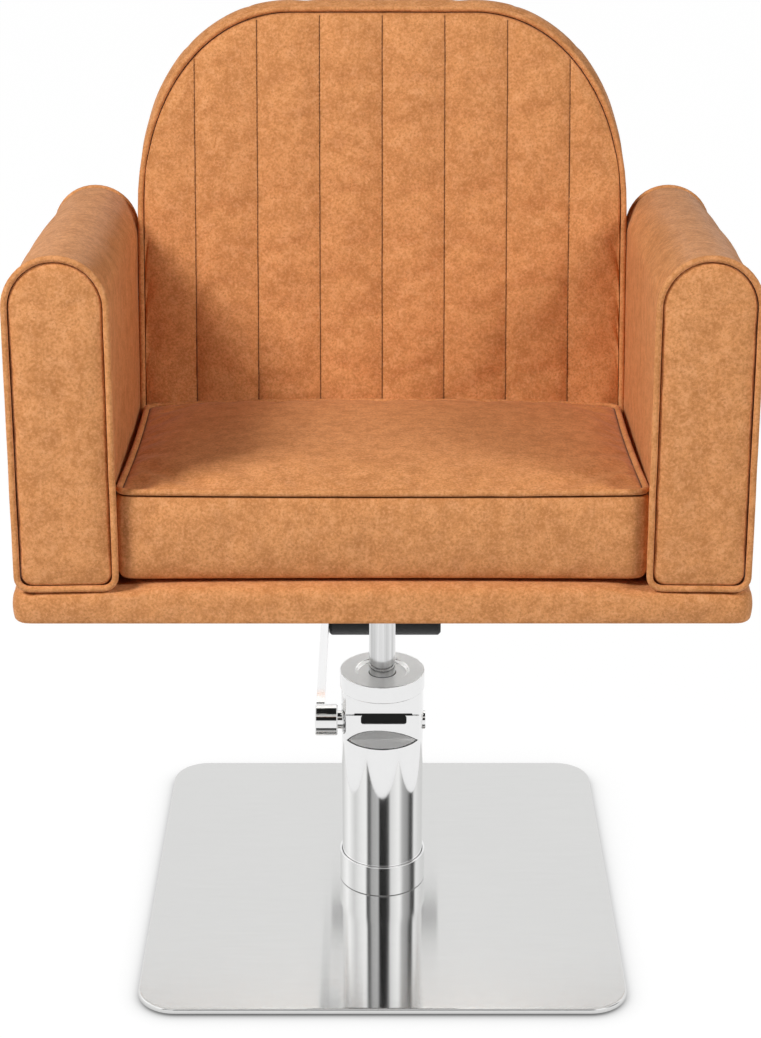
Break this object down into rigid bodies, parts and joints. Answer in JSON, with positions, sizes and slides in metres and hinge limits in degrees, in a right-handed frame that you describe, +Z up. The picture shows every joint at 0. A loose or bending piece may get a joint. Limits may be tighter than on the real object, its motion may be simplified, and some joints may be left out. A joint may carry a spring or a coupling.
{
  "type": "styling chair",
  "caption": "Upholstered styling chair with a channelled arched back, boxed seat and round-topped arms on a pump column with a pedal and a square steel base.",
  "frame": {"origin": "on the floor, on the column's axis", "axes": "+Z up, the chair faces -Y at rest, +X to the right seen from its front, the pedal lies at +Y"},
  "size_m": [0.7414, 0.6362, 0.9173],
  "materials": {
    "tan_upholstery": "soft coated leatherette over foam, tan with faint darker clouds, matt",
    "tan_welt": "tan piping cord in the same cover, matt",
    "chrome": "mirror chrome plate",
    "stainless": "polished stainless sheet, faintly brushed",
    "steel": "plain machined steel",
    "black_steel": "black powder coat",
    "bronze": "sintered bronze",
    "rubber": "matt black rubber",
    "plywood": "bare plywood, hidden",
    "black_board": "blackened board",
    "pale_cloth": "thin pale lining cloth"
  },
  "bodies": {
    "base": {"floor_mat": "rubber", "base_core_plate": "steel", "base_cover": "stainless", "base_bolt_1": "steel", "base_bolt_2": "steel", "base_bolt_3": "steel", "base_bolt_4": "steel", "column_sleeve": "chrome", "foot_ring": "chrome", "pump_cylinder": "steel", "pump_head": "chrome", "head_cap": "chrome", "rod_guide_bush": "bronze", "rod_wiper_seal": "rubber", "window_shield": "rubber", "plunger_barrel": "steel", "plunger_spring": "steel"},
    "pedal": {"pedal_hub": "chrome", "hub_set_screw": "black_steel", "pedal_arm": "chrome", "pedal_bar_core": "steel", "pedal_rubber": "rubber", "left_trunnion": "chrome", "right_trunnion": "chrome", "rocker_fork": "steel"},
    "plunger": {"pump_plunger": "steel"},
    "piston": {"piston": "steel", "piston_seal": "rubber"},
    "seat": {"platform_pad": "tan_upholstery", "seat_cushion": "tan_upholstery", "left_arm_pad": "tan_upholstery", "right_arm_pad": "tan_upholstery", "backrest_pad": "tan_upholstery", "backrest_rear_panel": "tan_upholstery", "seat_welt": "tan_welt", "backrest_welt": "tan_welt", "left_arm_front_welt": "tan_welt", "left_arm_rear_welt": "tan_welt", "right_arm_front_welt": "tan_welt", "right_arm_rear_welt": "tan_welt", "piston_rod": "chrome", "mount_bolt_1": "steel", "mount_bolt_2": "steel", "mount_bolt_3": "steel", "mount_bolt_4": "steel", "left_arm_front_bolt": "steel", "left_arm_rear_bolt": "steel", "right_arm_front_bolt": "steel", "right_arm_rear_bolt": "steel", "mount_socket": "black_steel", "mount_plate": "black_steel", "left_back_bracket": "black_steel", "right_back_bracket": "black_steel", "platform_board": "plywood", "left_arm_frame": "plywood", "right_arm_frame": "plywood", "backrest_frame": "plywood", "seat_board": "black_board", "underside_lining": "pale_cloth"}
  },
  "joints": [
    {"name": "seat_lift", "type": "slide", "parent": "base", "child": "piston", "axis": [0, 0, 1], "range_m": [-0.072, 0.05]},
    {"name": "seat_swivel", "type": "hinge", "parent": "piston", "child": "seat", "pos_m": [0, 0, 0.373], "axis": [0, 0, 1], "continuous": true},
    {"name": "pedal_press", "type": "hinge", "parent": "base", "child": "pedal", "pos_m": [0, 0, 0.2008], "axis": [-1, 0, 0], "range_deg": [0, 20], "stiffness_Nm_per_rad": 8, "springref_deg": -14.32},
    {"name": "plunger_stroke", "type": "slide", "parent": "base", "child": "plunger", "axis": [0, 0, -1], "range_m": [0, 0.0128], "deforming": ["plunger_spring"]}
  ],
  "couplings": [
    {"joint": "plunger_stroke", "follows": "pedal_press", "m_per_rad": 0.036}
  ]
}
